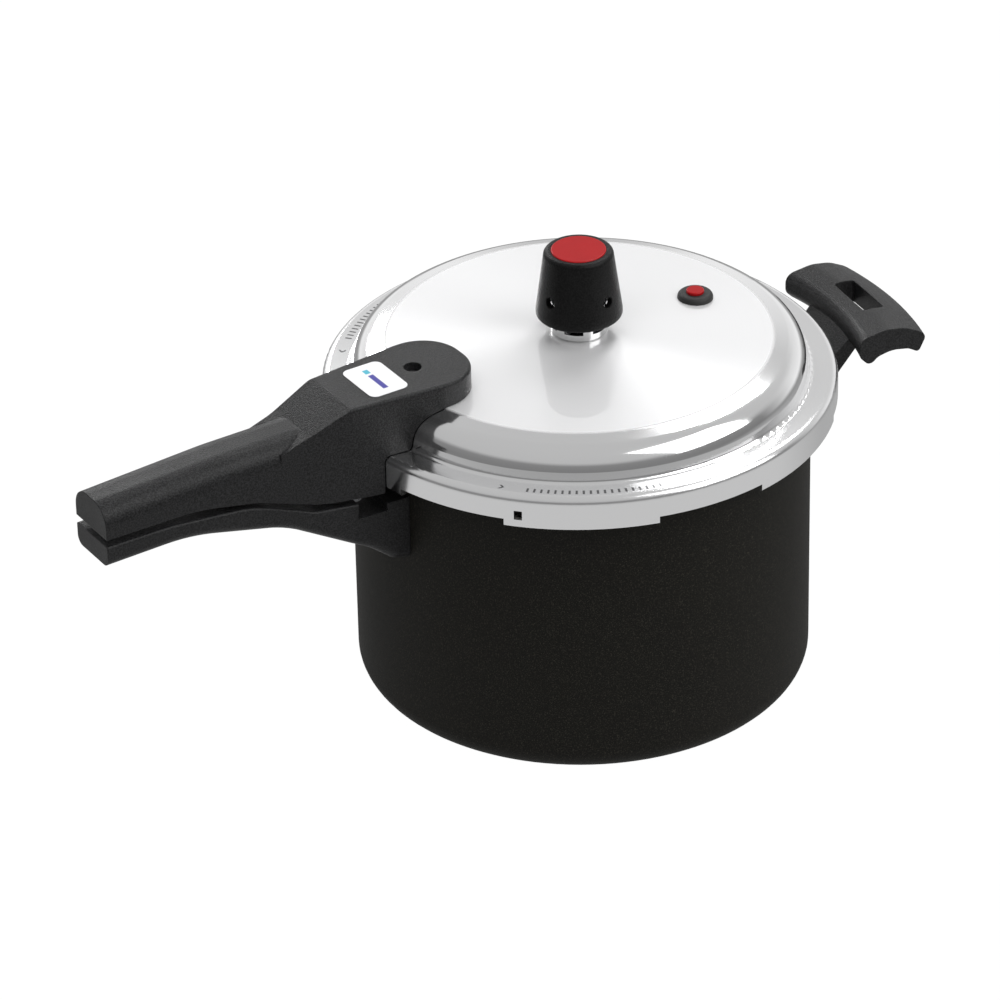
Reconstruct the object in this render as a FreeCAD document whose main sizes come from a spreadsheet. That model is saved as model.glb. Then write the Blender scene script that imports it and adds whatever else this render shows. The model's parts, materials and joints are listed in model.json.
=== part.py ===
import FreeCAD, Part
import math
import os
import Sketcher
from types import SimpleNamespace

# Stovetop pressure cooker: pot with a bayonet rim, turning lid, seal, weighted regulator.
# Origin at the centre of the pot's base, +Z up, long handles towards -X, helper handle towards +X.
# Lengths are in millimetres and angles in degrees.

Vector = FreeCAD.Vector
Placement = FreeCAD.Placement
Rotation = FreeCAD.Rotation

DOC = FreeCAD.newDocument("PressureCooker")

SIZES = {
    # pot
    "pot_inner_diameter": 200.0,
    "pot_wall": 2.0,
    "pot_base": 3.5,
    "pot_height": 141.5,
    "pot_base_rounding": 10.5,
    # bayonet
    "lug_count": 6,
    "lug_reach": 8.5,
    "lug_spread": 24.0,
    "lug_thickness": 2.5,
    "lug_drop": 6.7,
    "rim_band_reach": 2.5,
    "tab_spread": 34.0,
    "tab_turn": -3.0,
    "tab_thickness": 2.0,
    "tab_reach": 6.8,
    "bayonet_gap": 0.5,
    # seal between the pot's rim and the lid
    "seal_height": 4.5,
    "seal_gap": 0.4,
    # lid, pressed from sheet
    "lid_sheet": 2.0,
    "lid_rim_room": 11.8,
    "lid_skirt_depth": 12.0,
    "lid_rim_rounding": 3.4,
    "lid_shoulder_height": 16.0,
    "lid_shoulder_run": 15.5,
    "lid_dome_height": 3.0,
    "lid_seat_radius": 15.0,
    "lid_flange_width": 12.3,
    "window_angle": -136.8,
    "window_spread": 1.8,
    "window_height": 4.3,
    # steam vent on the lid's axis
    "vent_radius": 4.5,
    "vent_bore_radius": 1.5,
    "vent_rise": 24.0,
    "vent_flange_radius": 8.0,
    "guard_radius": 12.5,
    "guard_wall": 1.2,
    "guard_height": 10.0,
    "strainer_radius": 9.0,
    "strainer_depth": 9.0,
    # regulator that sits on the vent
    "knob_radius": 19.5,
    "knob_top_radius": 15.2,
    "knob_height": 31.5,
    "knob_stand": 8.0,
    "knob_wall": 3.4,
    "knob_hole_radius": 2.6,
    "knob_hole_angle": 12.0,
    "knob_hole_rise": 12.0,
    "knob_cap_radius": 12.2,
    "knob_cap_rise": 0.4,
    "weight_height": 10.0,
    "weight_bore_radius": 7.0,
    "slip_clearance": 0.05,
    # safety valve in the dome
    "valve_across": 59.7,
    "valve_aside": -2.7,
    "valve_radius": 8.0,
    "valve_neck_radius": 6.0,
    "valve_crown": 2.8,
    "valve_pin_radius": 1.9,
    "valve_pin_head_radius": 4.0,
    "valve_pin_travel": 4.0,
    # lid handle
    "handle_overhang": 132.2,
    "handle_head_rise": 27.5,
    "handle_grip_rise": 16.5,
    "handle_grip_depth": 15.0,
    "handle_head_half_width": 21.4,
    "handle_neck_half_width": 17.0,
    "handle_grip_half_width": 14.0,
    "handle_end_taper": 0.8,
    "handle_tip_inset": 24.8,
    "handle_lid_gap": 0.3,
    "label_length": 19.0,
    "label_width": 27.0,
    "label_thickness": 0.8,
    # pot handle
    "pot_handle_gap": 3.5,
    "pot_handle_grip_depth": 10.2,
    "pot_handle_half_width": 18.0,
    "notch_width": 14.0,
    "notch_depth": 7.5,
    # helper handle
    "helper_turn": -6.5,
    "helper_overhang": 46.2,
    "helper_width": 33.2,
    "helper_half_length": 34.5,
    "helper_drop": 0.8,
    "helper_depth": 15.4,
    "helper_stem_half_width": 20.0,
    "helper_slot_length": 28.0,
    "helper_slot_width": 10.0,
    # brackets, rivets and screws
    "bracket_sheet": 1.6,
    "bracket_half_width": 12.0,
    "pot_bracket_height": 28.0,
    "pot_bracket_spread": 17.0,
    "pot_bracket_drop": 19.5,
    "rivet_radius": 2.4,
    "rivet_head_radius": 4.2,
    "rivet_head_height": 1.5,
    "screw_radius": 2.0,
    "screw_head_radius": 3.7,
    "screw_head_height": 2.4,
}


class Size:
    """A number together with the sheet expression that gives it."""

    def __init__(self, number, text):
        self.number = number
        self.text = text

    def joined(self, sign, other, number):
        return Size(number, f"({self.text} {sign} {as_size(other).text})")

    def __add__(self, other):
        return self.joined("+", other, self.number + as_size(other).number)

    def __sub__(self, other):
        return self.joined("-", other, self.number - as_size(other).number)

    def __mul__(self, other):
        return self.joined("*", other, self.number * as_size(other).number)

    def __truediv__(self, other):
        return self.joined("/", other, self.number / as_size(other).number)

    def __radd__(self, other):
        return as_size(other) + self

    def __rsub__(self, other):
        return as_size(other) - self

    def __rmul__(self, other):
        return as_size(other) * self

    def __neg__(self):
        return as_size(0.0) - self


def as_size(item):
    """Turn a plain number into a Size that has no sheet cell behind it."""
    if isinstance(item, Size):
        return item
    return Size(float(item), f"({float(item)!r})")


def size_sheet(sizes):
    """Write the driving sizes into a sheet and return them by name."""
    sheet = DOC.addObject("Spreadsheet::Sheet", "Sizes")
    named = {}
    for row, (name, number) in enumerate(sizes.items(), 1):
        sheet.set(f"A{row}", name)
        sheet.set(f"B{row}", str(number))
        sheet.setAlias(f"B{row}", name)
        named[name] = Size(float(number), f"Sizes.{name}")
    DOC.recompute()
    return SimpleNamespace(**named)


d = size_sheet(SIZES)

# Places that several pieces share.
pot_inner = d.pot_inner_diameter / 2
pot_outer = pot_inner + d.pot_wall
lug_low = d.pot_height - d.lug_drop
lug_outer = pot_outer + d.lug_reach
lid_outer = pot_outer + d.lid_rim_room
skirt_inner = lid_outer - d.lid_sheet
seal_top = d.pot_height + d.seal_height
flange_top = seal_top + d.lid_sheet
tab_top = lug_low - d.bayonet_gap
flange_inner = lid_outer - d.lid_flange_width
shoulder_radius = flange_inner - d.lid_shoulder_run
shoulder_top = flange_top + d.lid_shoulder_height
seat_top = shoulder_top + d.lid_dome_height
seat_under = seat_top - d.lid_sheet
guard_floor = seat_top + 1.0
vent_top = seat_top + d.vent_rise
head_top = flange_top + d.handle_head_rise
grip_top = flange_top + d.handle_grip_rise
grip_low = grip_top - d.handle_grip_depth
pot_grip_top = grip_low - d.pot_handle_gap
handle_reach = lid_outer + d.handle_overhang
helper_reach = lid_outer + d.helper_overhang


# ---- building blocks -------------------------------------------------------------------------

def bind(item, **sizes):
    """Tie properties of an object to sheet expressions."""
    for name, size in sizes.items():
        item.setExpression(name.replace("__", "."), as_size(size).text)


def corner_turn(before, corner, after, rounding):
    """Where a rounded corner's arc starts and ends, its centre, and whether it turns left."""
    back = (before - corner).normalize()
    ahead = (after - corner).normalize()
    half = back.getAngle(ahead) / 2
    setback = rounding / math.tan(half)
    centre = corner + (back + ahead).normalize() * (rounding / math.sin(half))
    turns_left = back.cross(ahead).z < 0
    return corner + back * setback, corner + ahead * setback, centre, turns_left


def pin_point(sketch, geometry, end, corner):
    """Hold a sketch point at the corner's place, given by sheet expressions."""
    for kind, size in zip(("DistanceX", "DistanceY"), corner):
        size = as_size(size)
        constraint = Sketcher.Constraint(kind, -1, 1, geometry, end, size.number)
        index = sketch.addConstraint(constraint)
        sketch.setExpression(f"Constraints[{index}]", size.text)


def draw_arc(sketch, arrive, leave, centre, turns_left, rounding):
    """Add a corner's arc; return its index and which of its ends each line meets."""
    first, last = (arrive, leave) if turns_left else (leave, arrive)
    circle = Part.Circle(centre, Vector(0, 0, 1), rounding)
    angles = [math.atan2(p.y - centre.y, p.x - centre.x) for p in (first, last)]
    arc = sketch.addGeometry(Part.ArcOfCircle(circle, *angles))
    return (arc, 1, 2) if turns_left else (arc, 2, 1)


def draw_outline(sketch, corners):
    """Draw a closed outline; a corner is (across, up) or (across, up, rounding)."""
    points = [Vector(as_size(c[0]).number, as_size(c[1]).number, 0) for c in corners]
    count = len(corners)
    turns = []
    for i, corner in enumerate(corners):
        turn = (points[i], points[i], None, None)
        if len(corner) == 3:
            rounding = as_size(corner[2]).number
            turn = corner_turn(points[i - 1], points[i], points[(i + 1) % count], rounding)
        turns.append(turn)
    lines = []
    for i in range(count):
        line = Part.LineSegment(turns[i][1], turns[(i + 1) % count][0])
        lines.append(sketch.addGeometry(line))
    for i, corner in enumerate(corners):
        before = lines[i - 1]
        after = lines[i]
        if len(corner) == 2:
            sketch.addConstraint(Sketcher.Constraint("Coincident", before, 2, after, 1))
            pin_point(sketch, after, 1, corner)
            continue
        rounding = as_size(corner[2])
        arc, arrive_end, leave_end = draw_arc(sketch, *turns[i], rounding.number)
        virtual = sketch.addGeometry(Part.Point(points[i]), True)
        pin_point(sketch, virtual, 1, corner)
        sketch.addConstraint(Sketcher.Constraint("PointOnObject", virtual, 1, before))
        sketch.addConstraint(Sketcher.Constraint("PointOnObject", virtual, 1, after))
        sketch.addConstraint(Sketcher.Constraint("Tangent", before, 2, arc, arrive_end))
        sketch.addConstraint(Sketcher.Constraint("Tangent", arc, leave_end, after, 1))
        index = sketch.addConstraint(Sketcher.Constraint("Radius", arc, rounding.number))
        sketch.setExpression(f"Constraints[{index}]", rounding.text)


def body_sketch(body, name, plane_role, angle=0.0):
    """A sketch on one of the body's own planes, swung about +Z by angle."""
    sketch = body.newObject("Sketcher::SketchObject", name)
    planes = [o for o in body.Origin.OriginFeatures if o.Role == plane_role]
    sketch.AttachmentSupport = [(planes[0], "")]
    sketch.MapMode = "FlatFace"
    swing = as_size(angle)
    sketch.AttachmentOffset = Placement(Vector(), Rotation(Vector(0, 1, 0), swing.number))
    sketch.setExpression("AttachmentOffset.Rotation.Angle", swing.text)
    return sketch


def add_turned(body, name, corners, spread=360.0, angle=0.0, cut=False):
    """Turn an outline (radius, height) about the body's Z axis, fully or over a spread."""
    sketch = body_sketch(body, name + "_outline", "XZ_Plane", angle)
    draw_outline(sketch, corners)
    kind = "PartDesign::Groove" if cut else "PartDesign::Revolution"
    feature = body.newObject(kind, name)
    feature.Profile = sketch
    feature.ReferenceAxis = (sketch, ["V_Axis"])
    feature.Angle = as_size(spread).number
    bind(feature, Angle=spread)
    feature.Midplane = as_size(spread).number < 360
    return feature


def repeat_around(body, name, feature, count):
    """Repeat a feature evenly about the body's Z axis."""
    DOC.recompute()
    pattern = body.newObject("PartDesign::PolarPattern", name)
    pattern.Originals = [feature]
    axis = [o for o in body.Origin.OriginFeatures if o.Role == "Z_Axis"][0]
    pattern.Axis = (axis, [""])
    pattern.Angle = 360
    pattern.Occurrences = int(as_size(count).number)
    bind(pattern, Occurrences=count)
    body.Tip = pattern
    return pattern


def new_body(name, across=0.0, aside=0.0):
    body = DOC.addObject("PartDesign::Body", name)
    bind(body, Placement__Base__x=across, Placement__Base__y=aside)
    return body


def turned(name, corners, across=0.0, aside=0.0):
    """A body turned in full from one outline."""
    body = new_body(name, across, aside)
    add_turned(body, name + "_turned", corners)
    return body


def slab(name, plane, corners, thickness, level=0.0):
    """An outline on the XZ plane, or level with the XY plane, made thick evenly to both sides."""
    sketch = DOC.addObject("Sketcher::SketchObject", name + "_outline")
    bind(sketch, Placement__Base__z=level)
    if plane == "XZ":
        sketch.Placement = Placement(Vector(), Rotation(Vector(1, 0, 0), 90))
    draw_outline(sketch, corners)
    extrusion = DOC.addObject("Part::Extrusion", name)
    extrusion.Base = sketch
    extrusion.DirMode = "Normal"
    extrusion.Solid = True
    extrusion.Symmetric = True
    bind(extrusion, LengthFwd=thickness)
    return extrusion


def box(name, low, high):
    """A block between two corners, each three sizes."""
    block = DOC.addObject("Part::Box", name)
    spans = [as_size(b) - as_size(a) for a, b in zip(low, high)]
    bind(block, Length=spans[0], Width=spans[1], Height=spans[2])
    bind(block, Placement__Base__x=low[0], Placement__Base__y=low[1], Placement__Base__z=low[2])
    return block


def upright_rod(name, radius, low, high, across=0.0, aside=0.0):
    """A cylinder standing along +Z from low to high."""
    rod = DOC.addObject("Part::Cylinder", name)
    bind(rod, Radius=radius, Height=as_size(high) - low)
    bind(rod, Placement__Base__x=across, Placement__Base__y=aside, Placement__Base__z=low)
    return rod


def level_rod(name, radius, start, stop, height):
    """A cylinder lying along +X from start to stop at a height."""
    rod = DOC.addObject("Part::Cylinder", name)
    rod.Placement = Placement(Vector(), Rotation(Vector(0, 1, 0), 90))
    bind(rod, Radius=radius, Height=as_size(stop) - start)
    bind(rod, Placement__Base__x=start, Placement__Base__z=height)
    return rod


def fused(name, pieces):
    item = DOC.addObject("Part::MultiFuse", name)
    item.Shapes = pieces
    item.Refine = True
    return item


def common(name, pieces):
    item = DOC.addObject("Part::MultiCommon", name)
    item.Shapes = pieces
    item.Refine = True
    return item


def cut(name, base, tool):
    """Take tool away from base, and make sure that something was taken."""
    item = DOC.addObject("Part::Cut", name)
    item.Base = base
    item.Tool = tool
    item.Refine = True
    DOC.recompute()
    if item.Shape.Volume >= base.Shape.Volume - 1e-6:
        raise RuntimeError(f"{name}: the cut took nothing away")
    return item


def swung(item, angle):
    """The same piece, swung about +Z."""
    holder = DOC.addObject("Part::Compound", item.Name + "_swung")
    holder.Links = [item]
    holder.Placement = Placement(Vector(), Rotation(Vector(0, 0, 1), angle.number))
    bind(holder, Placement__Rotation__Angle=angle)
    return holder


def face_slopes(shape, edge):
    """Upward part of the outward normal of each face that meets at the edge's middle."""
    middle = edge.valueAt((edge.FirstParameter + edge.LastParameter) / 2)
    slopes = []
    for face in shape.ancestorsOfType(edge, Part.Face):
        slopes.append(face.normalAt(*face.Surface.parameter(middle)).z)
    return slopes


def side_edges(shape, looks, low, high):
    """Edges from low to high along X where an upright face meets one that looks up (1) or down (-1)."""
    numbers = []
    for number, edge in enumerate(shape.Edges, 1):
        if not low.number < edge.CenterOfMass.x < high.number:
            continue
        slopes = face_slopes(shape, edge)
        if max(looks * z for z in slopes) > 0.3 and min(abs(z) for z in slopes) < 0.2:
            numbers.append(number)
    return numbers


def rounded(name, source, roundings):
    """Round side edges of source; a rounding is (radius, looks up or down, low x, high x)."""
    DOC.recompute()
    edges = []
    for radius, looks, low, high in roundings:
        size = as_size(radius).number
        edges += [(n, size, size) for n in side_edges(source.Shape, looks, low, high)]
    item = DOC.addObject("Part::Fillet", name)
    item.Base = source
    item.Edges = edges
    return item


# ---- pot -------------------------------------------------------------------------------------

def pot_blank():
    """Pot with its rim band and the lugs that the lid's tabs turn under."""
    band = pot_outer + d.rim_band_reach
    lug_top = lug_low + d.lug_thickness
    inner_rounding = d.pot_base_rounding - d.pot_wall
    body = new_body("pot_blank")
    add_turned(body, "pot_wall_and_base", [
        (0, 0),
        (pot_outer, 0, d.pot_base_rounding),
        (pot_outer, lug_low),
        (band, lug_low),
        (band, lug_top),
        (pot_outer, lug_top),
        (pot_outer, d.pot_height, d.pot_wall * 0.4),
        (pot_inner, d.pot_height, d.pot_wall * 0.4),
        (pot_inner, d.pot_base, inner_rounding),
        (0, d.pot_base),
    ])
    lug = add_turned(body, "pot_lug", [
        (pot_outer - d.pot_wall / 2, lug_low),
        (lug_outer, lug_low),
        (lug_outer, lug_top, d.lug_thickness * 0.3),
        (pot_outer - d.pot_wall / 2, lug_top),
    ], spread=d.lug_spread, angle=d.tab_turn)
    repeat_around(body, "pot_lugs", lug, d.lug_count)
    return body


bracket_high = d.pot_height - d.pot_bracket_drop
bracket_low = bracket_high - d.pot_bracket_height
bracket_face = pot_outer + d.bracket_sheet
rivet_low = bracket_low + d.rivet_head_radius + 1.5
rivet_high = bracket_high - d.rivet_head_radius - 1.5


def along_wall(side, near, far):
    """Start and end along X of a span measured outwards from the axis, on the side of +X or -X."""
    return (near, far) if side > 0 else (-far, -near)


def pot_rivets(name, side):
    """Two rivets through the pot's wall and the bracket, one above the other."""
    pressed_in = d.pot_wall / 4
    inside = pot_inner - d.rivet_head_height
    outside = bracket_face + d.rivet_head_height
    pieces = []
    for place, height in (("low", rivet_low), ("high", rivet_high)):
        spans = {
            "shank": (d.rivet_radius, inside, outside),
            "inner_head": (d.rivet_head_radius, inside, pot_inner + pressed_in),
            "outer_head": (d.rivet_head_radius, bracket_face - pressed_in, outside),
        }
        for part, (radius, near, far) in spans.items():
            start, stop = along_wall(side, near, far)
            pieces.append(level_rod(f"{name}_{place}_{part}", radius, start, stop, height))
    return fused(name, pieces)


def pot_bracket(name, side, tongue_reach, tongue_low):
    """Curved plate against the pot's wall with a tongue that reaches into the handle."""
    body = new_body(name + "_plate")
    add_turned(body, name + "_curved_plate", [
        (pot_outer, bracket_low),
        (bracket_face, bracket_low),
        (bracket_face, bracket_high),
        (pot_outer, bracket_high),
    ], spread=d.pot_bracket_spread, angle=0.0 if side > 0 else 180.0)
    start, stop = along_wall(side, bracket_face - d.bracket_sheet / 2, tongue_reach)
    half = d.bracket_half_width * 0.75
    tongue = box(name + "_tongue", (start, -half, tongue_low),
                 (stop, half, tongue_low + d.bracket_sheet))
    return fused(name + "_blank", [body, tongue])


# ---- long pot handle -------------------------------------------------------------------------

neck = lid_outer + 13
grip_start = 24.0
notch_near = lid_outer - 2.5
notch_floor = flange_top - 27.5


def long_handle_plan(name, root):
    """Plan view of a long handle: narrow grip, wider neck, then the corners of its root."""
    half = d.handle_grip_half_width
    near = [
        (-handle_reach, d.handle_end_taper - half),
        (-(neck + grip_start), -half),
        (-neck, -d.handle_neck_half_width),
        *[(across, -aside, *rest) for across, aside, *rest in root],
    ]
    far = [(across, -aside, *rest) for across, aside, *rest in reversed(near)]
    return slab(name, "XY", near + far, 2 * head_top)


def pot_handle_blank():
    """Lower long handle: flat top, rounded belly that sinks towards the pot, notch near the pot."""
    root = pot_outer - 3
    notch_far = notch_near + d.notch_width
    shelf = notch_floor + d.notch_depth
    grip_under = pot_grip_top - d.pot_handle_grip_depth
    side = slab("pot_handle_side", "XZ", [
        (-root, bracket_low - 2),
        (-root, bracket_high + 2),
        (-notch_near, bracket_high + 2),
        (-notch_near, notch_floor),
        (-notch_far, notch_floor),
        (-notch_far, shelf),
        (-(notch_far + 20), shelf + 1.5, 20),
        (-(notch_far + 50), pot_grip_top - 4, 60),
        (-(notch_far + 90), pot_grip_top, 120),
        (-handle_reach, pot_grip_top),
        (-handle_reach, grip_under),
        (-(notch_far + 80), grip_under + 1, 90),
        (-(notch_far + 35), grip_under - 10, 60),
        (-(notch_near + 8), bracket_low + 9, 40),
        (-(notch_near - 3), bracket_low, 6),
    ], 80)
    plan = long_handle_plan("pot_handle_plan", [(-root, d.pot_handle_half_width)])
    square = common("pot_handle_square", [side, plan])
    end = 0.1 - handle_reach
    return rounded("pot_handle_blank", square, [
        (d.pot_handle_grip_depth * 0.4, -1, end, -pot_outer - 9),
        (1.2, 1, end, -notch_far),
    ])


def pot_handle_screw():
    """Screw from the notch's floor down through the bracket's tongue."""
    across = -(notch_near + d.notch_width / 2)
    head_top_at = notch_floor - 0.4
    head_low = head_top_at - d.screw_head_height
    head = upright_rod("pot_handle_screw_head", d.screw_head_radius, head_low, head_top_at, across)
    shank = upright_rod("pot_handle_screw_shank", d.screw_radius, head_low - 12, head_low, across)
    opening = upright_rod("pot_handle_screw_opening", d.screw_head_radius, head_low,
                          head_top_at + 5, across)
    return fused("pot_handle_screw", [head, shank]), opening


# ---- helper handle ---------------------------------------------------------------------------

helper_crest = flange_top - d.helper_drop
helper_foot = helper_crest - d.helper_depth
helper_inner = helper_reach - d.helper_width


def helper_blank():
    """Helper handle: arch and stem as one moulding, with the slot through the arch."""
    moulding = fused("helper_moulding", [helper_arch(), helper_stem()])
    return cut("helper_blank", moulding, helper_slot())


def helper_arch():
    """Arched grip plate, curved about the pot's axis and cut straight at both ends."""
    outer = helper_reach
    inner = helper_inner
    crest = helper_crest
    body = new_body("helper_arch_ring")
    add_turned(body, "helper_arch_turned", [
        (inner, crest - 1.8, 5),
        (inner + 13, crest + 0.4, 16),
        (inner + 22, crest - 1, 16),
        (outer - 4, crest - 4.6, 4),
        (outer, crest - 7.5, 3),
        (outer - 3.8, helper_foot + 0.2, 1.6),
        (outer - 9, helper_foot + 3.3, 6),
        (inner + 16, helper_foot + 4.8, 16),
        (inner + 8.5, helper_foot + 3, 6),
        (inner + 5.5, helper_foot - 0.8, 3),
        (inner, helper_foot + 5, 5),
    ], spread=40)
    half = d.helper_half_length
    ends = box("helper_ends", (0, -half, helper_foot - 5), (outer + 5, half, crest + 5))
    return common("helper_arch", [body, ends])


def helper_stem():
    """Stem between the arch and the pot, widening towards the arch."""
    root = bracket_face
    inner = helper_inner
    half = d.helper_stem_half_width
    sunk = helper_crest - 8.5
    side = slab("helper_stem_side", "XZ", [
        (root, bracket_low - 2),
        (root, bracket_high + 1.5),
        (root + 9, bracket_high + 1.5, 8),
        (inner + 0.5, sunk),
        (inner + 14, sunk),
        (inner + 5, helper_foot + 4, 3),
        (inner - 8, helper_foot - 13.5, 8),
        (root + 12, bracket_low + 6, 8),
    ], 120)
    plan = slab("helper_stem_plan", "XY", [
        (root, -half * 0.82),
        (root + 16, -half * 0.86, 30),
        (inner + 14, -half),
        (inner + 14, half),
        (root + 16, half * 0.86, 30),
        (root, half * 0.82),
    ], 400)
    return common("helper_stem", [side, plan])


def helper_slot():
    """Slot through the arch, for hanging the pot."""
    middle = helper_inner + 14
    half_width = d.helper_slot_width / 2
    half_length = d.helper_slot_length / 2
    return slab("helper_slot", "XY", [
        (middle - half_width, -half_length, 1.5),
        (middle + half_width, -half_length, 1.5),
        (middle + half_width, half_length, 1.5),
        (middle - half_width, half_length, 1.5),
    ], 400)


def helper_screw():
    """Screw from below through the stem into the bracket's tongue."""
    across = bracket_face + 8
    head_low = bracket_low + 10
    head_high = head_low + d.screw_head_height
    head = upright_rod("helper_screw_head", d.screw_head_radius, head_low, head_high, across)
    shank = upright_rod("helper_screw_shank", d.screw_radius, head_high, head_high + 10, across)
    opening = upright_rod("helper_screw_opening", d.screw_head_radius, bracket_low - 10,
                          head_high, across)
    return fused("helper_handle_screw", [head, shank]), opening


# ---- lid -------------------------------------------------------------------------------------

knee_radius = flange_inner - 2.4
knee_top = flange_top + d.lid_shoulder_height * 0.78


def lid_outside(gap=0.0):
    """The lid's outer line from the axis to the rim, moved outwards by a gap."""
    return [
        (d.lid_seat_radius, seat_top + gap),
        (shoulder_radius + gap * 0.3, shoulder_top + gap, 2.5),
        (knee_radius + gap, knee_top + gap * 0.5, 12),
        (flange_inner + gap, flange_top + gap, 2),
    ]


def lid_blank():
    """Pressed lid: flat seat, shallow dome, steep shoulder, flat flange and skirt with tabs."""
    sheet = d.lid_sheet
    skirt_low = flange_top - d.lid_skirt_depth
    body = new_body("lid_blank")
    add_turned(body, "lid_pressing", [
        (d.vent_radius, seat_top),
        *lid_outside(),
        (lid_outer, flange_top, d.lid_rim_rounding),
        (lid_outer, skirt_low),
        (skirt_inner, skirt_low),
        (skirt_inner, seal_top, d.lid_rim_rounding - 2),
        (flange_inner - sheet * 0.9, seal_top, 2.5),
        (knee_radius - sheet * 0.9, knee_top - sheet * 0.5, 10),
        (shoulder_radius - sheet * 0.3, shoulder_top - sheet, 2),
        (d.lid_seat_radius, seat_under),
        (d.vent_radius, seat_under),
    ])
    tab_low = tab_top - d.tab_thickness
    tab = add_turned(body, "lid_tab", [
        (skirt_inner, skirt_low + 1),
        (skirt_inner, tab_top),
        (skirt_inner - d.tab_reach, tab_top),
        (skirt_inner - d.tab_reach, tab_low),
        (lid_outer, tab_low, 1.2),
        (lid_outer, skirt_low + 1),
    ], spread=d.tab_spread, angle=d.tab_turn)
    repeat_around(body, "lid_tabs", tab, d.lug_count)
    window_low = skirt_low + 0.3
    add_turned(body, "lid_window", [
        (skirt_inner - 1, window_low),
        (lid_outer + 1, window_low),
        (lid_outer + 1, window_low + d.window_height),
        (skirt_inner - 1, window_low + d.window_height),
    ], spread=d.window_spread, angle=d.window_angle, cut=True)
    return body


def seal_ring():
    """Rubber ring in the lid's rim channel, resting on the pot's rim."""
    inner = pot_inner - 0.2
    outer = skirt_inner - d.seal_gap
    lip = 2.0
    middle = (pot_outer + outer) / 2
    return turned("seal_ring", [
        (inner, d.pot_height),
        (pot_outer + 1, d.pot_height),
        (pot_outer + 2, d.pot_height + lip, 0.6),
        (middle + 2, d.pot_height + lip, 0.6),
        (outer - 1.8, d.pot_height - lip),
        (outer, d.pot_height - lip),
        (outer, seal_top, d.lid_rim_rounding - 2),
        (flange_inner - 0.3, seal_top),
        (inner, d.pot_height + lip + 0.5),
    ])


# ---- steam vent ------------------------------------------------------------------------------

nut_low = seat_under - 4.0
tube_low = nut_low - 5.0


def vent_tube():
    """Threaded tube through the lid's seat, with a flange and a tapered nozzle."""
    flange_high = guard_floor + 2.0
    return turned("vent_tube", [
        (d.vent_bore_radius, tube_low),
        (d.vent_radius, tube_low, 0.6),
        (d.vent_radius, guard_floor),
        (d.vent_flange_radius, guard_floor),
        (d.vent_flange_radius, flange_high, 0.6),
        (d.vent_radius, flange_high),
        (d.vent_radius, vent_top - 4),
        (d.vent_radius - 1.2, vent_top),
        (d.vent_bore_radius, vent_top),
    ])


def vent_guard():
    """Crown round the vent's foot, with windows that let steam out sideways."""
    inner = d.guard_radius - d.guard_wall
    body = new_body("vent_guard")
    add_turned(body, "vent_guard_cup", [
        (d.vent_radius, seat_top),
        (d.guard_radius, seat_top, 0.6),
        (d.guard_radius, seat_top + d.guard_height),
        (inner, seat_top + d.guard_height),
        (inner, guard_floor),
        (d.vent_radius, guard_floor),
    ])
    window = add_turned(body, "vent_guard_window", [
        (inner - 1, guard_floor + 2.2),
        (d.guard_radius + 1, guard_floor + 2.2),
        (d.guard_radius + 1, seat_top + d.guard_height - 1.6),
        (inner - 1, seat_top + d.guard_height - 1.6),
    ], spread=40, angle=45, cut=True)
    repeat_around(body, "vent_guard_windows", window, 6)
    return body


def vent_nut():
    """Hexagonal nut that clamps the vent under the lid."""
    prism = DOC.addObject("Part::Prism", "vent_nut_prism")
    prism.Polygon = 6
    bind(prism, Circumradius=d.vent_flange_radius, Height=seat_under - nut_low)
    bind(prism, Placement__Base__z=nut_low)
    hole = upright_rod("vent_nut_hole", d.vent_radius, nut_low - 1, seat_under + 1)
    return cut("vent_nut", prism, hole)


def vent_strainer():
    """Slotted cap that keeps food out of the vent's lower end."""
    wall = 1.0
    low = nut_low - d.strainer_depth
    body = new_body("vent_strainer")
    add_turned(body, "vent_strainer_cup", [
        (0, low),
        (d.strainer_radius, low, 1.6),
        (d.strainer_radius, nut_low),
        (d.strainer_radius - wall, nut_low),
        (d.strainer_radius - wall, low + wall, 0.6),
        (0, low + wall),
    ])
    add_turned(body, "vent_strainer_collar", [
        (d.vent_radius, nut_low - wall),
        (d.strainer_radius - wall / 2, nut_low - wall),
        (d.strainer_radius - wall / 2, nut_low),
        (d.vent_radius, nut_low),
    ])
    slot = add_turned(body, "vent_strainer_slot", [
        (d.strainer_radius - 2 * wall, low + 2.5),
        (d.strainer_radius + 1, low + 2.5),
        (d.strainer_radius + 1, nut_low - 2.5),
        (d.strainer_radius - 2 * wall, nut_low - 2.5),
    ], spread=14, angle=30, cut=True)
    repeat_around(body, "vent_strainer_slots", slot, 6)
    return body


# ---- regulator -------------------------------------------------------------------------------

knob_low = seat_top + d.knob_stand
knob_high = knob_low + d.knob_height
weight_low = vent_top + 2.5
weight_high = weight_low + d.weight_height
weight_foot = knob_low + 6


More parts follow.
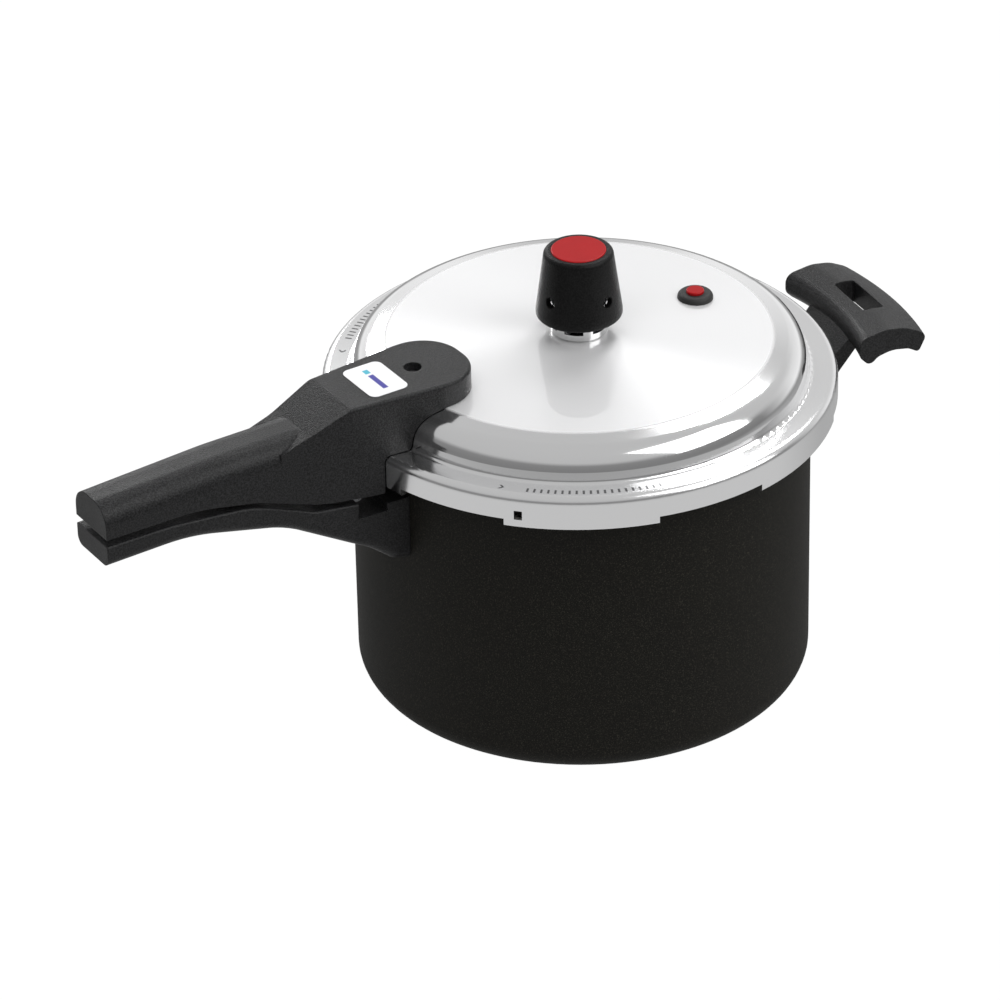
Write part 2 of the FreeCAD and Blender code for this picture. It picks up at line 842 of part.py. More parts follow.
def regulator_cover():
    """Tapered hollow knob with four steam holes round its foot."""
    body = new_body("regulator_cover")
    cap_seat = knob_high - 1.2
    add_turned(body, "regulator_cover_turned", [
        (d.knob_radius - d.knob_wall, knob_low),
        (d.knob_radius - 0.3, knob_low, 1.4),
        (d.knob_radius - 0.4, knob_low + 3, 6),
        (d.knob_top_radius, knob_high, 2.2),
        (d.knob_cap_radius, knob_high),
        (d.knob_cap_radius, cap_seat),
        (0, cap_seat),
        (0, weight_high),
        (d.knob_cap_radius, weight_high),
        (d.knob_cap_radius, weight_low),
        (d.knob_radius - d.knob_wall - 1.2, weight_low),
    ])
    sketch = body_sketch(body, "steam_hole_outline", "YZ_Plane", d.knob_hole_angle)
    centre = Vector(0, (knob_low + d.knob_hole_rise).number, 0)
    circle = sketch.addGeometry(Part.Circle(centre, Vector(0, 0, 1), d.knob_hole_radius.number))
    pin_point(sketch, circle, 3, (0, knob_low + d.knob_hole_rise))
    index = sketch.addConstraint(Sketcher.Constraint("Radius", circle, d.knob_hole_radius.number))
    sketch.setExpression(f"Constraints[{index}]", d.knob_hole_radius.text)
    hole = body.newObject("PartDesign::Pocket", "steam_hole")
    hole.Profile = sketch
    bind(hole, Length=d.knob_radius + 2)
    repeat_around(body, "steam_holes", hole, 4)
    return body


def regulator_cap():
    """Disc pressed into the knob's top."""
    return turned("regulator_cap", [
        (0, knob_high - 1.2),
        (d.knob_cap_radius, knob_high - 1.2),
        (d.knob_cap_radius, knob_high + d.knob_cap_rise, 0.6),
        (0, knob_high + d.knob_cap_rise),
    ])


def regulator_weight():
    """Steel slug inside the knob, bored so that it reaches down round the vent."""
    return turned("regulator_weight", [
        (0, weight_low),
        (d.weight_bore_radius, weight_low),
        (d.weight_bore_radius, weight_foot),
        (d.knob_cap_radius, weight_foot, 0.6),
        (d.knob_cap_radius, weight_high),
        (0, weight_high),
    ])


def regulator_needle():
    """Needle that closes the vent's bore, with a collar that rests on the nozzle."""
    needle_radius = d.vent_bore_radius - d.slip_clearance * 4
    return turned("regulator_needle", [
        (0, vent_top - 5),
        (needle_radius, vent_top - 4),
        (needle_radius, vent_top),
        (d.vent_radius - 0.5, vent_top),
        (d.vent_radius - 0.5, weight_low),
        (0, weight_low),
    ])


# ---- safety valve ----------------------------------------------------------------------------

dome_slope = d.lid_dome_height / (shoulder_radius - d.lid_seat_radius)
dome_at_valve = seat_top - dome_slope * (d.valve_across - d.lid_seat_radius)
valve_top = dome_at_valve + d.valve_crown
valve_low = dome_at_valve - d.lid_sheet - 1.9


def valve_bush_blank():
    """Rubber bush that grips the sheet round its hole."""
    return turned("valve_bush_blank", [
        (d.valve_pin_radius + d.slip_clearance, valve_low),
        (d.valve_radius, valve_low, 0.7),
        (d.valve_radius, valve_top, 2.2),
        (d.valve_pin_radius + d.slip_clearance, valve_top),
    ], d.valve_across, d.valve_aside)


def valve_pin():
    """Pin that rises in the bush when the pot is under pressure."""
    collar_top = valve_low - d.valve_pin_travel - 0.2
    return turned("valve_pin", [
        (0, collar_top - 1.5),
        (d.valve_pin_radius + 1.4, collar_top - 1.5),
        (d.valve_pin_radius + 1.4, collar_top),
        (d.valve_pin_radius, collar_top),
        (d.valve_pin_radius, valve_top),
        (d.valve_pin_head_radius, valve_top),
        (d.valve_pin_head_radius, valve_top + 1.3, 0.6),
        (0, valve_top + 1.3),
    ], d.valve_across, d.valve_aside)


# ---- lid handle ------------------------------------------------------------------------------

tip = shoulder_radius - d.handle_tip_inset
plate_top = head_top - 6.4
plate_low = plate_top - d.bracket_sheet
screw_across = -shoulder_radius
rear_screw_across = -(lid_outer + 12.2)
leg = flange_inner + 3.0


def lid_handle_bracket():
    """Bent strap welded to the lid: top plate, leg on the flange, tongue out to the rear."""
    half = d.bracket_half_width
    sheet = d.bracket_sheet
    front = tip + 6.5
    strap = slab("lid_bracket_strap", "XZ", [
        (-front, plate_low - 3.4),
        (-front, plate_top),
        (-(leg + sheet), plate_top),
        (-(leg + sheet), flange_top + sheet),
        (-(lid_outer + 20), flange_top + sheet),
        (-(lid_outer + 20), flange_top),
        (-leg, flange_top),
        (-leg, plate_low),
        (-(front + sheet), plate_low),
        (-(front + sheet), plate_low - 3.4),
    ], half * 2)
    return strap


def lid_handle_screws():
    """Front screw from the handle's top and rear screw from below, both through the bracket."""
    front_seat = plate_top + 0.3
    front_head = upright_rod("front_screw_head", d.screw_head_radius, front_seat,
                             front_seat + d.screw_head_height, screw_across)
    front_shank = upright_rod("front_screw_shank", d.screw_radius, plate_low - 2.0,
                              front_seat, screw_across)
    rear_seat = flange_top
    rear_head = upright_rod("rear_screw_head", d.screw_head_radius,
                            rear_seat - d.screw_head_height, rear_seat, rear_screw_across)
    rear_shank = upright_rod("rear_screw_shank", d.screw_radius, rear_seat, rear_seat + 11,
                             rear_screw_across)
    screws = fused("lid_handle_screws", [front_head, front_shank, rear_head, rear_shank])
    opening = upright_rod("front_screw_opening", 4.0, front_seat, head_top + 1, screw_across)
    return screws, opening


def lid_handle_head():
    """Broad flat-topped head over the lid's shoulder, dropping to the grip in a facet."""
    side = slab("lid_handle_head_side", "XZ", [
        (-tip, shoulder_top - 8),
        (-tip, head_top),
        (-neck, head_top),
        (-(neck + 21), grip_top + 2.3, 38),
        (-(neck + 34), grip_top - 2),
        (-(neck + 34), grip_low - 3),
        (-(neck + 16), grip_low - 17, 20),
        (-(lid_outer + 0.3), grip_low - 19.5),
        (-(lid_outer - 24), grip_low - 17),
    ], 80)
    half = d.handle_head_half_width
    plan = long_handle_plan("lid_handle_head_plan", [(-(tip + 22), half), (-tip, half, 19)])
    square = common("lid_handle_head_square", [side, plan])
    return rounded("lid_handle_head", square, [(1.4, 1, -neck + 6, as_size(0))])


def lid_handle_grip():
    """Grip with a rounded top, reaching forward into the head."""
    half = d.handle_grip_half_width
    side = slab("lid_handle_grip_side", "XZ", [
        (-handle_reach, grip_low),
        (-handle_reach, grip_top),
        (-(neck + 60), grip_top + 2.8, 160),
        (-(neck + grip_start), grip_top + 2.8),
        (-(neck - 6), grip_top + 2.8),
        (-(neck - 6), grip_low - 17),
        (-(neck + 16), grip_low - 17, 20),
        (-(neck + 46), grip_low - 6, 60),
        (-(neck + 75), grip_low, 90),
    ], 80)
    plan = slab("lid_handle_grip_plan", "XY", [
        (-handle_reach, d.handle_end_taper - half),
        (-(neck + grip_start), -half),
        (-(neck - 6), -half - 2.8),
        (-(neck - 6), half + 2.8),
        (-(neck + grip_start), half),
        (-handle_reach, half - d.handle_end_taper),
    ], 400)
    square = common("lid_handle_grip_square", [side, plan])
    end = 0.1 - handle_reach
    return rounded("lid_handle_grip", square, [(half * 0.7, 1, end, -neck + 5)])


def lid_handle_room():
    """Space that the handle leaves free: the lid with a gap, and the pocket for the bracket."""
    gap = d.handle_lid_gap
    lid_room = turned("lid_handle_lid_room", [
        (0, seat_top + gap),
        *lid_outside(gap),
        (lid_outer + gap, flange_top + gap, d.lid_rim_rounding),
        (lid_outer + gap, tab_top - 20),
        (0, tab_top - 20),
    ])
    half = d.bracket_half_width + 0.3
    upper_pocket = box("bracket_pocket", (-(leg + d.bracket_sheet + 0.3), -half, flange_top - 10),
                       (-(tip + 6.2), half, plate_top))
    lower_pocket = box("screw_pocket", (-(lid_outer + 22), -half, flange_top - 30),
                       (-(leg - 1), half, flange_top + d.bracket_sheet))
    return fused("lid_handle_room", [lid_room, upper_pocket, lower_pocket])


def handle_label():
    """Plain badge let into the head's top."""
    middle = -(shoulder_radius + 19)
    half_length = d.label_length / 2
    half_width = d.label_width / 2
    proud = 0.15
    return slab("handle_label", "XY", [
        (middle - half_length, -half_width, 3.5),
        (middle + half_length, -half_width, 3.5),
        (middle + half_length, half_width, 3.5),
        (middle - half_length, half_width, 3.5),
    ], d.label_thickness, head_top + proud - d.label_thickness / 2)


# ---- assembly --------------------------------------------------------------------------------

def build_pot():
    """The pot with its two riveted brackets and its two handles."""
    sides = {
        "pot_handle": (-1, lid_outer + 12, notch_floor - 9, pot_handle_blank, pot_handle_screw,
                       as_size(0.0)),
        "helper_handle": (1, bracket_face + 13, bracket_high - 8.5, helper_blank, helper_screw,
                          d.helper_turn),
    }
    nodes = {}
    wall = upright_rod("pot_wall_envelope", pot_outer, 0, d.pot_height)
    for name, (side, reach, tongue_low, handle_blank, handle_screw, turn) in sides.items():
        rivets = pot_rivets(name + "_rivets", side)
        screw, opening = handle_screw()
        bracket = pot_bracket(name + "_bracket", side, reach, tongue_low)
        fixings = fused(name + "_fixings", [rivets, screw])
        room = fused(name + "_room", [wall, bracket, fixings, opening])
        pieces = {
            name + "_rivets": rivets,
            name + "_screw": screw,
            name + "_bracket": cut(name + "_bracket", bracket, fixings),
            name: cut(name, handle_blank(), room),
        }
        nodes |= {part: swung(item, turn) for part, item in pieces.items()}
    both = fused("pot_rivet_holes", [nodes["pot_handle_rivets"], nodes["helper_handle_rivets"]])
    nodes["pot_shell"] = cut("pot_shell", pot_blank(), both)
    return nodes


def build_lid():
    """The lid with its handle, vent and safety valve."""
    hole = upright_rod("valve_hole", d.valve_neck_radius, flange_top, seat_top + 5,
                       d.valve_across, d.valve_aside)
    shell = cut("lid_shell", lid_blank(), hole)
    screws, opening = lid_handle_screws()
    label = handle_label()
    strap = cut("lid_bracket_fitted", lid_handle_bracket(), shell)
    room = fused("lid_handle_all_room", [lid_handle_room(), screws, opening, label])
    handle = fused("lid_handle_blank", [lid_handle_head(), lid_handle_grip()])
    return {
        "lid_shell": shell,
        "lid_handle": cut("lid_handle", handle, room),
        "lid_handle_bracket": cut("lid_handle_bracket", strap, screws),
        "lid_handle_screws": screws,
        "handle_label": label,
        "vent_tube": vent_tube(),
        "vent_guard": vent_guard(),
        "vent_nut": vent_nut(),
        "vent_strainer": vent_strainer(),
        "valve_bush": cut("valve_bush", valve_bush_blank(), shell),
        "valve_pin": valve_pin(),
    }


def build_regulator():
    return {
        "regulator_cover": regulator_cover(),
        "regulator_cap": regulator_cap(),
        "regulator_weight": regulator_weight(),
        "regulator_needle": regulator_needle(),
    }


def check_document():
    """Stop if any object of the document failed to build."""
    failed = [o.Name for o in DOC.Objects if {"Invalid", "Error"} & set(o.State)]
    if failed:
        raise RuntimeError(f"failed objects: {failed}")


def export(nodes):
    """Check each sub-part and write it to its own file."""
    os.makedirs("parts", exist_ok=True)
    for name, item in nodes.items():
        if item.Shape.isNull() or not item.Shape.isValid():
            raise RuntimeError(f"{name}: bad shape")
    for name, item in nodes.items():
        item.Label = name
        item.Shape.exportStep(f"parts/{name}.step")
        print(f"{name}: {len(item.Shape.Solids)} solid(s), {item.Shape.Volume:.0f} mm3")


def main():
    nodes = {**build_pot(), "seal_ring": seal_ring(), **build_lid(), **build_regulator()}
    DOC.recompute()
    check_document()
    export(nodes)


main()
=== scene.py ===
import json
import math

import bpy
from mathutils import Matrix, Vector


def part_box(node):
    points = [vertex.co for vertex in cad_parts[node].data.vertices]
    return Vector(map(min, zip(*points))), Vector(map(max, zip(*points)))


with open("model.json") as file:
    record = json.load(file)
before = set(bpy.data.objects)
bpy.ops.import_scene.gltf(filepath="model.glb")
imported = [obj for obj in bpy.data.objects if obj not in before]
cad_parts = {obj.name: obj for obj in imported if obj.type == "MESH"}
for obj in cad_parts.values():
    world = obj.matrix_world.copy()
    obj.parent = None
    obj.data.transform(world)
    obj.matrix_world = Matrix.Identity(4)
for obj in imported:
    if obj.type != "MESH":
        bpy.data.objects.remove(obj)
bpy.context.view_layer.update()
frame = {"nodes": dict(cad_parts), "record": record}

# A stovetop pressure cooker: materials for its CAD nodes, etched marks, studio and camera.
# Metres, in the CAD frame: origin at the centre of the pot's base, long handles towards -X.

# Sizes read from the frame: where the lid's flange and its dome end, inwards from the rim.
FLANGE_WIDTH = 0.0123
SHOULDER_WIDTH = 0.0155
FLANGE_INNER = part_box("lid_shell")[1].x - FLANGE_WIDTH
DOME_EDGE = FLANGE_INNER - SHOULDER_WIDTH
LABEL_LOW, LABEL_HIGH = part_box("handle_label")

# Etched scales on the flange: chevron's angle, first and last tick's angle, middle radius.
FLANGE_SCALES = ((138.7, 106.4, 132.8, 0.1066), (-141.0, -135.8, -103.9, 0.1079))
TICK_STEP = 1.6                 # degrees from tick to tick
TICK_SPAN = (0.3, 0.62)         # part of a step that a tick fills
TICK_HALF = 0.0015              # half a tick's length, and half the chevron's height
STROKE_HALF = 0.0006            # half the chevron's stroke
MARK_SOFT = 0.0001              # soft edge of an etched mark

# The badge's plain bar and block, from the badge's middle.
BAR_HALF = 0.0013
BAR_ENDS = (-0.009, 0.004)
BLOCK_ENDS = (0.0055, 0.009)
PRINT_SOFT = 0.0002

EDGE_WEAR = 0.0009              # radius to which plastic edges look rounded
SHARP_EDGE = math.radians(32)   # edges that turn more than this stay sharp


# ---- node helpers ----------------------------------------------------------------------------

class Nodes:
    """A material's node tree, with short calls to add and join nodes."""

    def __init__(self, name):
        self.material = bpy.data.materials.new(name)
        self.material.use_nodes = True
        self.tree = self.material.node_tree
        self.tree.nodes.clear()
        self.shader = self.add("ShaderNodeBsdfPrincipled")
        self.output = self.add("ShaderNodeOutputMaterial")
        self.join(self.shader.outputs["BSDF"], self.output.inputs["Surface"])
        self.place = self.add("ShaderNodeTexCoord").outputs["Object"]

    def add(self, kind, **settings):
        node = self.tree.nodes.new(kind)
        for name, setting in settings.items():
            setattr(node, name, setting)
        return node

    def join(self, source, target):
        self.tree.links.new(source, target)

    def set(self, **numbers):
        """Set the shader's own sockets, such as Roughness or Coat_Weight."""
        for name, number in numbers.items():
            self.shader.inputs[name.replace("_", " ")].default_value = number

    def noise(self, scale, detail=4.0, roughness=0.5, stretch=(1, 1, 1)):
        """Noise over the object, in features per metre."""
        mapping = self.add("ShaderNodeMapping")
        mapping.inputs["Scale"].default_value = stretch
        self.join(self.place, mapping.inputs["Vector"])
        node = self.add("ShaderNodeTexNoise")
        node.inputs["Scale"].default_value = scale
        node.inputs["Detail"].default_value = detail
        node.inputs["Roughness"].default_value = roughness
        self.join(mapping.outputs["Vector"], node.inputs["Vector"])
        return node.outputs["Fac"]

    def spread(self, source, low, high, to_low=0.0, to_high=1.0, smooth=False):
        """Map source from low..high to to_low..to_high, clamped."""
        node = self.add("ShaderNodeMapRange")
        node.interpolation_type = "SMOOTHSTEP" if smooth else "LINEAR"
        for name, number in (("From Min", low), ("From Max", high), ("To Min", to_low),
                             ("To Max", to_high)):
            node.inputs[name].default_value = number
        self.join(source, node.inputs["Value"])
        return node.outputs["Result"]

    def math(self, operation, first, second=None):
        node = self.add("ShaderNodeMath", operation=operation)
        for socket, item in zip(node.inputs, (first, second)):
            if isinstance(item, (int, float)):
                socket.default_value = item
            elif item is not None:
                self.join(item, socket)
        return node.outputs["Value"]

    def blend(self, factor, first, second):
        """Mix two colours; each is a colour or a socket."""
        node = self.add("ShaderNodeMix", data_type="RGBA")
        self.join(factor, node.inputs["Factor"])
        for socket, item in ((node.inputs[6], first), (node.inputs[7], second)):
            if isinstance(item, (tuple, list)):
                socket.default_value = (*item, 1.0)
            else:
                self.join(item, socket)
        return node.outputs[2]

    def mix(self, factor, first, second):
        """Mix two numbers; each is a number or a socket."""
        node = self.add("ShaderNodeMix", data_type="FLOAT")
        self.join(factor, node.inputs["Factor"])
        for socket, item in ((node.inputs[2], first), (node.inputs[3], second)):
            if isinstance(item, float):
                socket.default_value = item
            else:
                self.join(item, socket)
        return node.outputs[0]

    def bump(self, height, strength, distance, after=None):
        node = self.add("ShaderNodeBump")
        node.inputs["Strength"].default_value = strength
        node.inputs["Distance"].default_value = distance
        self.join(height, node.inputs["Height"])
        if after is not None:
            self.join(after, node.inputs["Normal"])
        return node.outputs["Normal"]

    def finish(self, colour=None, roughness=None, normal=None):
        for source, name in ((colour, "Base Color"), (roughness, "Roughness"),
                             (normal, "Normal")):
            if source is not None:
                self.join(source, self.shader.inputs[name])
        return self.material


# ---- materials -------------------------------------------------------------------------------

def bakelite(name, light_grain, specular):
    """Black moulded plastic: fine grain, satin sheen, worn edges, faint rubbed patches."""
    n = Nodes(name)
    grain = n.noise(1500, detail=4, roughness=0.6)
    patches = n.noise(55, detail=3)
    dark_grain = tuple(0.2 * c for c in light_grain)
    colour = n.blend(n.spread(grain, 0.42, 0.6), dark_grain, light_grain)
    roughness = n.spread(patches, 0.3, 0.7, 0.30, 0.38)
    n.set(Specular_IOR_Level=specular)
    edges = n.add("ShaderNodeBevel", samples=4)
    edges.inputs["Radius"].default_value = EDGE_WEAR
    return n.finish(colour, roughness, n.bump(grain, 0.8, 0.00025, edges.outputs["Normal"]))


def coated_aluminium():
    """Pot: charcoal non-stick coating with a fine speckle outside and inside."""
    n = Nodes("coated_aluminium")
    speckle = n.noise(1700, detail=6, roughness=0.7)
    clouds = n.noise(16, detail=3)
    dark = n.blend(clouds, (0.0052, 0.0049, 0.0036), (0.0078, 0.0073, 0.0054))
    colour = n.blend(n.spread(speckle, 0.52, 0.66), dark, (0.046, 0.042, 0.033))
    roughness = n.spread(speckle, 0.3, 0.7, 0.55, 0.7)
    n.set(Specular_IOR_Level=0.16)
    return n.finish(colour, roughness, n.bump(speckle, 0.5, 0.0002))


def lid_radius(n):
    """Distance from the lid's axis."""
    flat = n.add("ShaderNodeVectorMath", operation="MULTIPLY")
    flat.inputs[1].default_value = (1, 1, 0)
    n.join(n.place, flat.inputs[0])
    length = n.add("ShaderNodeVectorMath", operation="LENGTH")
    n.join(flat.outputs["Vector"], length.inputs[0])
    return length.outputs["Value"]


def lid_angle(n):
    """Angle about the lid's axis, from +X, in degrees."""
    split = n.add("ShaderNodeSeparateXYZ")
    n.join(n.place, split.inputs[0])
    turn = n.math("ARCTAN2", split.outputs["Y"], split.outputs["X"])
    return n.math("MULTIPLY", turn, 180 / math.pi)


def inside(n, source, low, high, soft):
    """1 where the source is between low and high, 0 outside, with soft ends."""
    rise = n.spread(source, low - soft, low + soft)
    fall = n.spread(source, high - soft, high + soft, 1.0, 0.0)
    return n.math("MULTIPLY", rise, fall)


def tick_row(n, angle, first, last):
    """Evenly spaced ticks from the first angle to the last."""
    soft = 0.05
    steps = n.math("FRACT", n.math("DIVIDE", angle, TICK_STEP))
    return n.math("MULTIPLY", inside(n, angle, first, last, soft),
                  inside(n, steps, *TICK_SPAN, soft))


def chevron(n, angle, point, away, middle):
    """Chevron with its point at the given angle and its arms slanting back on both sides."""
    along = n.math("MULTIPLY", n.math("SUBTRACT", angle, point), math.radians(1) * middle)
    slant = n.math("ADD", along, n.math("ABSOLUTE", away))
    return inside(n, slant, -STROKE_HALF, STROKE_HALF, MARK_SOFT)


def flange_marks(n, radius, angle):
    """Etched scales on the flange: a chevron and a row of ticks for each end of the lid's turn."""
    masks = []
    for point, first, last, middle in FLANGE_SCALES:
        away = n.math("SUBTRACT", radius, middle)
        band = inside(n, away, -TICK_HALF, TICK_HALF, MARK_SOFT)
        masks.append(n.math("MULTIPLY", tick_row(n, angle, first, last), band))
        masks.append(n.math("MULTIPLY", chevron(n, angle, point, away, middle), band))
    total = masks[0]
    for mask in masks[1:]:
        total = n.math("MAXIMUM", total, mask)
    return total


def lid_aluminium():
    """Lid: spun dome and flange with rings about the axis, polished shoulder between them."""
    n = Nodes("lid_aluminium")
    radius = lid_radius(n)
    spun = n.spread(radius, DOME_EDGE - 0.0012, DOME_EDGE + 0.0004, 1.0, 0.0)
    flange = n.spread(radius, FLANGE_INNER - 0.0005, FLANGE_INNER + 0.001)
    rings = n.add("ShaderNodeTexNoise", noise_dimensions="1D")
    rings.inputs["Scale"].default_value = 2600
    rings.inputs["Detail"].default_value = 6
    n.join(radius, rings.inputs["W"])
    ring = rings.outputs["Fac"]
    tangent = n.add("ShaderNodeTangent", direction_type="RADIAL", axis="Z")
    n.join(tangent.outputs["Tangent"], n.shader.inputs["Tangent"])
    smears = n.noise(40, detail=4)
    spun_roughness = n.spread(ring, 0.3, 0.7, 0.28, 0.31)
    polished_roughness = n.spread(smears, 0.3, 0.7, 0.07, 0.12)
    roughness = n.mix(spun, polished_roughness, spun_roughness)
    roughness = n.mix(flange, roughness, 0.19)
    marks = flange_marks(n, radius, lid_angle(n))
    shade = n.math("MULTIPLY", ring, spun)
    colour = n.blend(shade, (0.92, 0.92, 0.925), (0.87, 0.87, 0.88))
    colour = n.blend(n.math("MULTIPLY", marks, flange), colour, (0.2, 0.2, 0.205))
    n.join(n.math("MULTIPLY", n.math("ADD", spun, flange), 0.7), n.shader.inputs["Anisotropic"])
    n.join(n.spread(spun, 0, 1, 1.0, 0.36), n.shader.inputs["Metallic"])
    n.join(n.spread(spun, 0, 1, 0.0, 0.9), n.shader.inputs["Coat Weight"])
    n.set(Anisotropic_Rotation=0.25, Coat_Roughness=0.01, Coat_IOR=2.2)
    return n.finish(colour, roughness, n.bump(shade, 0.03, 0.00002))


def plain_metal(name, colour, low, high, scale=300):
    """Small metal pieces: uneven polish and faint scratches."""
    n = Nodes(name)
    n.set(Metallic=1.0)
    marks = n.noise(scale, detail=5, stretch=(1, 1, 0.2))
    darker = tuple(0.8 * c for c in colour)
    return n.finish(n.blend(marks, darker, colour), n.spread(marks, 0.3, 0.7, low, high),
                    n.bump(marks, 0.1, 0.00005))


def soft_rubber(name, colour):
    n = Nodes(name)
    grain = n.noise(2500, detail=4)
    lighter = tuple(min(1.0, 1.3 * c) for c in colour)
    return n.finish(n.blend(grain, colour, lighter), n.spread(grain, 0.3, 0.7, 0.5, 0.68),
                    n.bump(grain, 0.3, 0.0001))


def glossy_plastic(name, colour, roughness):
    """Moulded gloss plastic with a slight orange peel."""
    n = Nodes(name)
    peel = n.noise(700, detail=2)
    shade = n.noise(120, detail=3)
    darker = tuple(0.86 * c for c in colour)
    n.set(Coat_Weight=0.05, Coat_Roughness=0.12, Specular_IOR_Level=0.12)
    return n.finish(n.blend(shade, darker, colour),
                    n.spread(peel, 0.3, 0.7, roughness, roughness + 0.08),
                    n.bump(peel, 0.05, 0.0001))


def printed_label():
    """White badge with a plain two-colour bar."""
    n = Nodes("white_label")
    split = n.add("ShaderNodeSeparateXYZ")
    n.join(n.place, split.inputs[0])
    middle = (LABEL_LOW + LABEL_HIGH) / 2
    across = n.math("SUBTRACT", split.outputs["X"], middle.x)
    along = n.math("SUBTRACT", split.outputs["Y"], middle.y)
    row = inside(n, across, -BAR_HALF, BAR_HALF, PRINT_SOFT)
    bar = n.math("MULTIPLY", row, inside(n, along, *BAR_ENDS, PRINT_SOFT))
    block = n.math("MULTIPLY", row, inside(n, along, *BLOCK_ENDS, PRINT_SOFT))
    grain = n.noise(900, detail=2)
    colour = n.blend(grain, (0.80, 0.80, 0.82), (0.88, 0.88, 0.89))
    colour = n.blend(bar, colour, (0.04, 0.035, 0.30))
    colour = n.blend(block, colour, (0.05, 0.42, 0.55))
    n.set(Coat_Weight=0.3, Coat_Roughness=0.1)
    return n.finish(colour, n.spread(grain, 0.3, 0.7, 0.28, 0.36), n.bump(grain, 0.05, 0.0001))


def finish_nodes():
    """Give every CAD node its material by the record's slots; the regulator's cover gets a darker
    copy of the plastic as painted shade.
    """
    finishes = {
        "bakelite": bakelite("bakelite", (0.025, 0.025, 0.026), 0.25),
        "coated_aluminium": coated_aluminium(),
        "polished_aluminium": lid_aluminium(),
        "seal_rubber": soft_rubber("seal_rubber", (0.5, 0.5, 0.47)),
        "black_rubber": soft_rubber("black_rubber", (0.012, 0.012, 0.012)),
        "red_plastic": glossy_plastic("red_plastic", (0.38, 0.007, 0.009), 0.3),
        "white_label": printed_label(),
        "plated_steel": plain_metal("plated_steel", (0.55, 0.55, 0.57), 0.25, 0.4),
        "vent_steel": plain_metal("vent_steel", (0.8, 0.8, 0.8), 0.08, 0.16),
        "rivet_aluminium": plain_metal("rivet_aluminium", (0.75, 0.75, 0.76), 0.25, 0.38),
    }
    # Painted shade: the knob's plastic is a darker, less shiny copy of the handles' bakelite,
    # standing in for the shade that falls on the knob.
    painted_shade_finishes = {"regulator_cover": bakelite("knob_bakelite_painted_shade", (0.008, 0.008, 0.008), 0.16)}
    for part in frame["record"]["subparts"]:
        node = frame["nodes"][part["node"]]
        node.data.materials.clear()
        node.data.materials.append(painted_shade_finishes.get(part["node"], finishes[part["material_slot"]]))
        for face in node.data.polygons:
            face.use_smooth = True
        node.data.set_sharp_from_angle(angle=SHARP_EDGE)


# ---- studio and camera -----------------------------------------------------------------------

# Brightness of the surroundings at heights from straight down (-1) to straight up (1).
FRONT_WALL = ((-1, 0.60), (-0.3, 0.56), (-0.05, 0.2), (0.3, 0.24), (0.5, 0.5), (1, 0.52))
BACK_WALL = ((-1, 0.6), (-0.3, 0.35), (-0.08, 0.3), (0.06, 0.9), (0.35, 0.75), (0.5, 0.58),
             (1, 0.52))
BEHIND = (0.53, 0.85, 0)

# Lights: name, direction from +X about +Z and above level in degrees, size in metres, watts,
# and whether polished metal shows them.
LIGHTS = (
    ("right_fan", 31, 49, (0.55, 0.55), 9, True),
    ("left_fan", 80, 27, (0.5, 0.5), 6.5, True),
    ("near_right", -55, 41, (1.5, 1.6), 20, True),
    ("overhead", -120, 84, (1.4, 1.4), 6, False),
    ("key", -165, 60, (1.0, 1.0), 6, False),
)
LIGHT_DISTANCE = 2.0
AIM = Vector((0, 0, 0.14))

FLOOR_HALF = 6.0
FLOOR_DROP = 0.0005

# The camera's place about the pot, and how far its middle is aimed aside of and below the axis.
CAMERA_AZIMUTH = math.radians(-32)
CAMERA_ELEVATION = math.radians(31.14)
CAMERA_ROLL = math.radians(-1.24)
CAMERA_DISTANCE = 2.5
CAMERA_LENS = 201.2
AIM_HEIGHT = 0.08
AIM_ASIDE = 0.0365
AIM_BELOW = 0.00085


def soft_light(name, place, size, power):
    data = bpy.data.lights.new(name, "AREA")
    data.shape = "RECTANGLE"
    data.size, data.size_y = size
    data.energy = power
    light = bpy.data.objects.new(name, data)
    light.location = place
    light.rotation_euler = (AIM - place).to_track_quat("-Z", "Y").to_euler()
    bpy.context.scene.collection.objects.link(light)
    return light


def floor():
    """Plain white floor, level with the pot's base, that neither takes nor throws back light."""
    mesh = bpy.data.meshes.new("floor")
    half = FLOOR_HALF
    mesh.from_pydata([(-half, -half, 0), (half, -half, 0), (half, half, 0), (-half, half, 0)],
                     [], [(0, 1, 2, 3)])
    plane = bpy.data.objects.new("floor", mesh)
    plane.location.z = -FLOOR_DROP
    plane.visible_diffuse = False
    plane.visible_glossy = False
    plane.visible_shadow = False
    bpy.context.scene.collection.objects.link(plane)
    n = Nodes("floor_paper")
    tone = n.noise(3, detail=2)
    n.set(Emission_Strength=1.0, Specular_IOR_Level=0.0)
    n.join(n.blend(tone, (0.99, 0.99, 0.99), (1, 1, 1)), n.shader.inputs["Emission Color"])
    mesh.materials.append(n.finish(n.blend(tone, (0.02, 0.02, 0.02), (0.03, 0.03, 0.03)),
                                   n.spread(tone, 0.3, 0.7, 0.8, 0.9)))


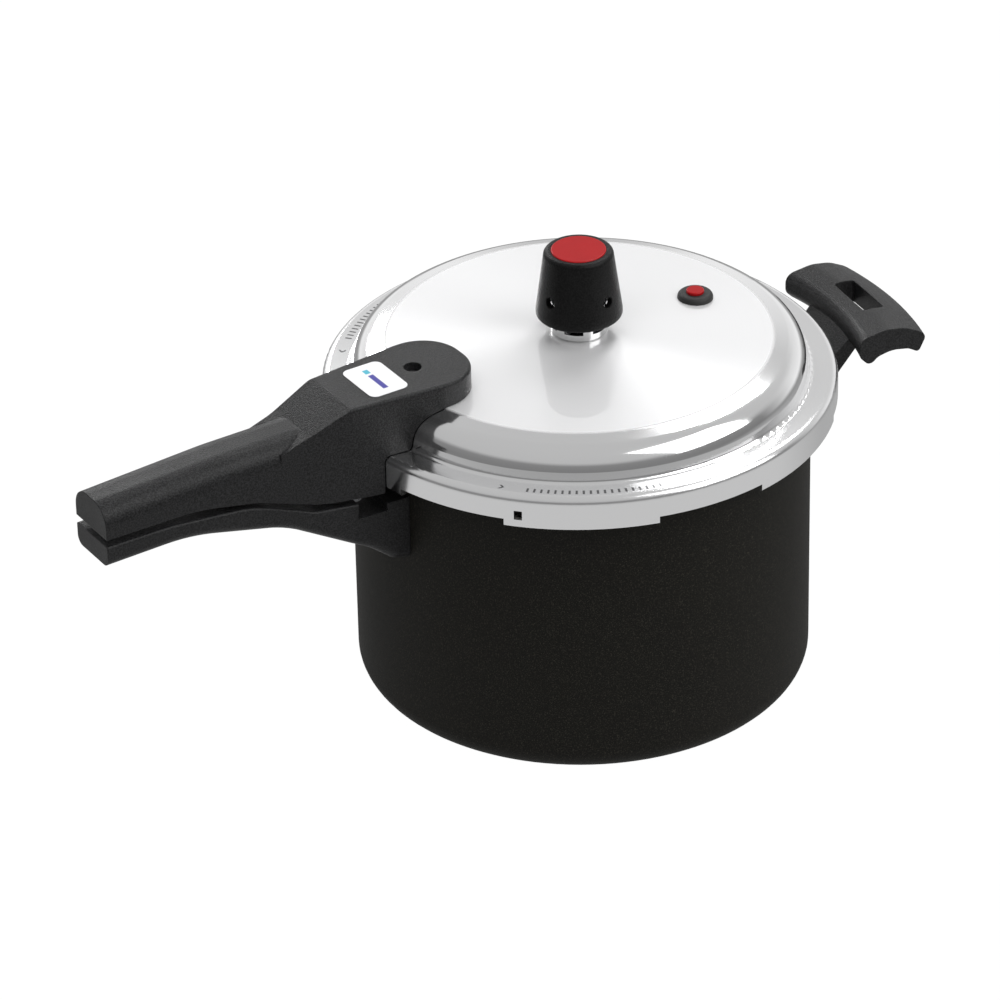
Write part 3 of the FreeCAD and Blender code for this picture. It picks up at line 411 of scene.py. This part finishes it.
def sky():
    """Studio surroundings: walls darkest near the horizon, and brighter behind than in front."""
    world = bpy.data.worlds.new("studio")
    world.use_nodes = True
    tree = world.node_tree
    place = tree.nodes.new("ShaderNodeTexCoord")
    split = tree.nodes.new("ShaderNodeSeparateXYZ")
    tree.links.new(place.outputs["Generated"], split.inputs[0])
    front = sky_ramp(tree, split.outputs["Z"], FRONT_WALL)
    back = sky_ramp(tree, split.outputs["Z"], BACK_WALL)
    facing = tree.nodes.new("ShaderNodeVectorMath")
    facing.operation = "DOT_PRODUCT"
    facing.inputs[1].default_value = BEHIND
    tree.links.new(place.outputs["Generated"], facing.inputs[0])
    amount = tree.nodes.new("ShaderNodeMapRange")
    amount.inputs["From Min"].default_value = 0.1
    amount.inputs["From Max"].default_value = 0.6
    tree.links.new(facing.outputs["Value"], amount.inputs["Value"])
    both = tree.nodes.new("ShaderNodeMix")
    both.data_type = "RGBA"
    tree.links.new(amount.outputs["Result"], both.inputs["Factor"])
    tree.links.new(front, both.inputs[6])
    tree.links.new(back, both.inputs[7])
    tree.links.new(both.outputs[2], tree.nodes["Background"].inputs["Color"])
    bpy.context.scene.world = world


def sky_ramp(tree, height, levels):
    """Brightness by height, from straight down (-1) to straight up (1)."""
    upward = tree.nodes.new("ShaderNodeMapRange")
    upward.inputs["From Min"].default_value = -1
    ramp = tree.nodes.new("ShaderNodeValToRGB")
    tree.links.new(height, upward.inputs["Value"])
    tree.links.new(upward.outputs["Result"], ramp.inputs["Fac"])
    stops = ramp.color_ramp.elements
    for _ in range(len(levels) - len(stops)):
        stops.new(0.5)
    for stop, (place, level) in zip(stops, levels):
        stop.position = (place + 1) / 2
        stop.color = (level, level, level, 1)
    return ramp.outputs["Color"]


def studio():
    bpy.context.scene.view_settings.view_transform = "Standard"
    sky()
    for name, azimuth, elevation, size, power, shown in LIGHTS:
        turn = math.radians(azimuth)
        rise = math.radians(elevation)
        away = Vector((math.cos(turn) * math.cos(rise), math.sin(turn) * math.cos(rise),
                       math.sin(rise)))
        soft_light(name, AIM + away * LIGHT_DISTANCE, size, power).visible_glossy = shown


def camera():
    """A long lens from above and to the side, with a slight roll."""
    level = math.cos(CAMERA_ELEVATION)
    back = Vector((math.sin(CAMERA_AZIMUTH) * level, -math.cos(CAMERA_AZIMUTH) * level,
                   math.sin(CAMERA_ELEVATION)))
    right = Vector((math.cos(CAMERA_AZIMUTH), math.sin(CAMERA_AZIMUTH), 0))
    up = back.cross(right)
    turned = (right * math.cos(CAMERA_ROLL) + up * math.sin(CAMERA_ROLL),
              up * math.cos(CAMERA_ROLL) - right * math.sin(CAMERA_ROLL), back)
    data = bpy.data.cameras.new("camera")
    data.sensor_width = 36
    data.lens = CAMERA_LENS
    data.clip_start, data.clip_end = 0.05, 50
    item = bpy.data.objects.new("camera", data)
    target = Vector((0, 0, AIM_HEIGHT)) - turned[0] * AIM_ASIDE - turned[1] * AIM_BELOW
    rotation = Matrix(turned).transposed().to_4x4()
    item.matrix_world = Matrix.Translation(target + back * CAMERA_DISTANCE) @ rotation
    bpy.context.scene.collection.objects.link(item)
    bpy.context.scene.camera = item


finish_nodes()
floor()
studio()
camera()
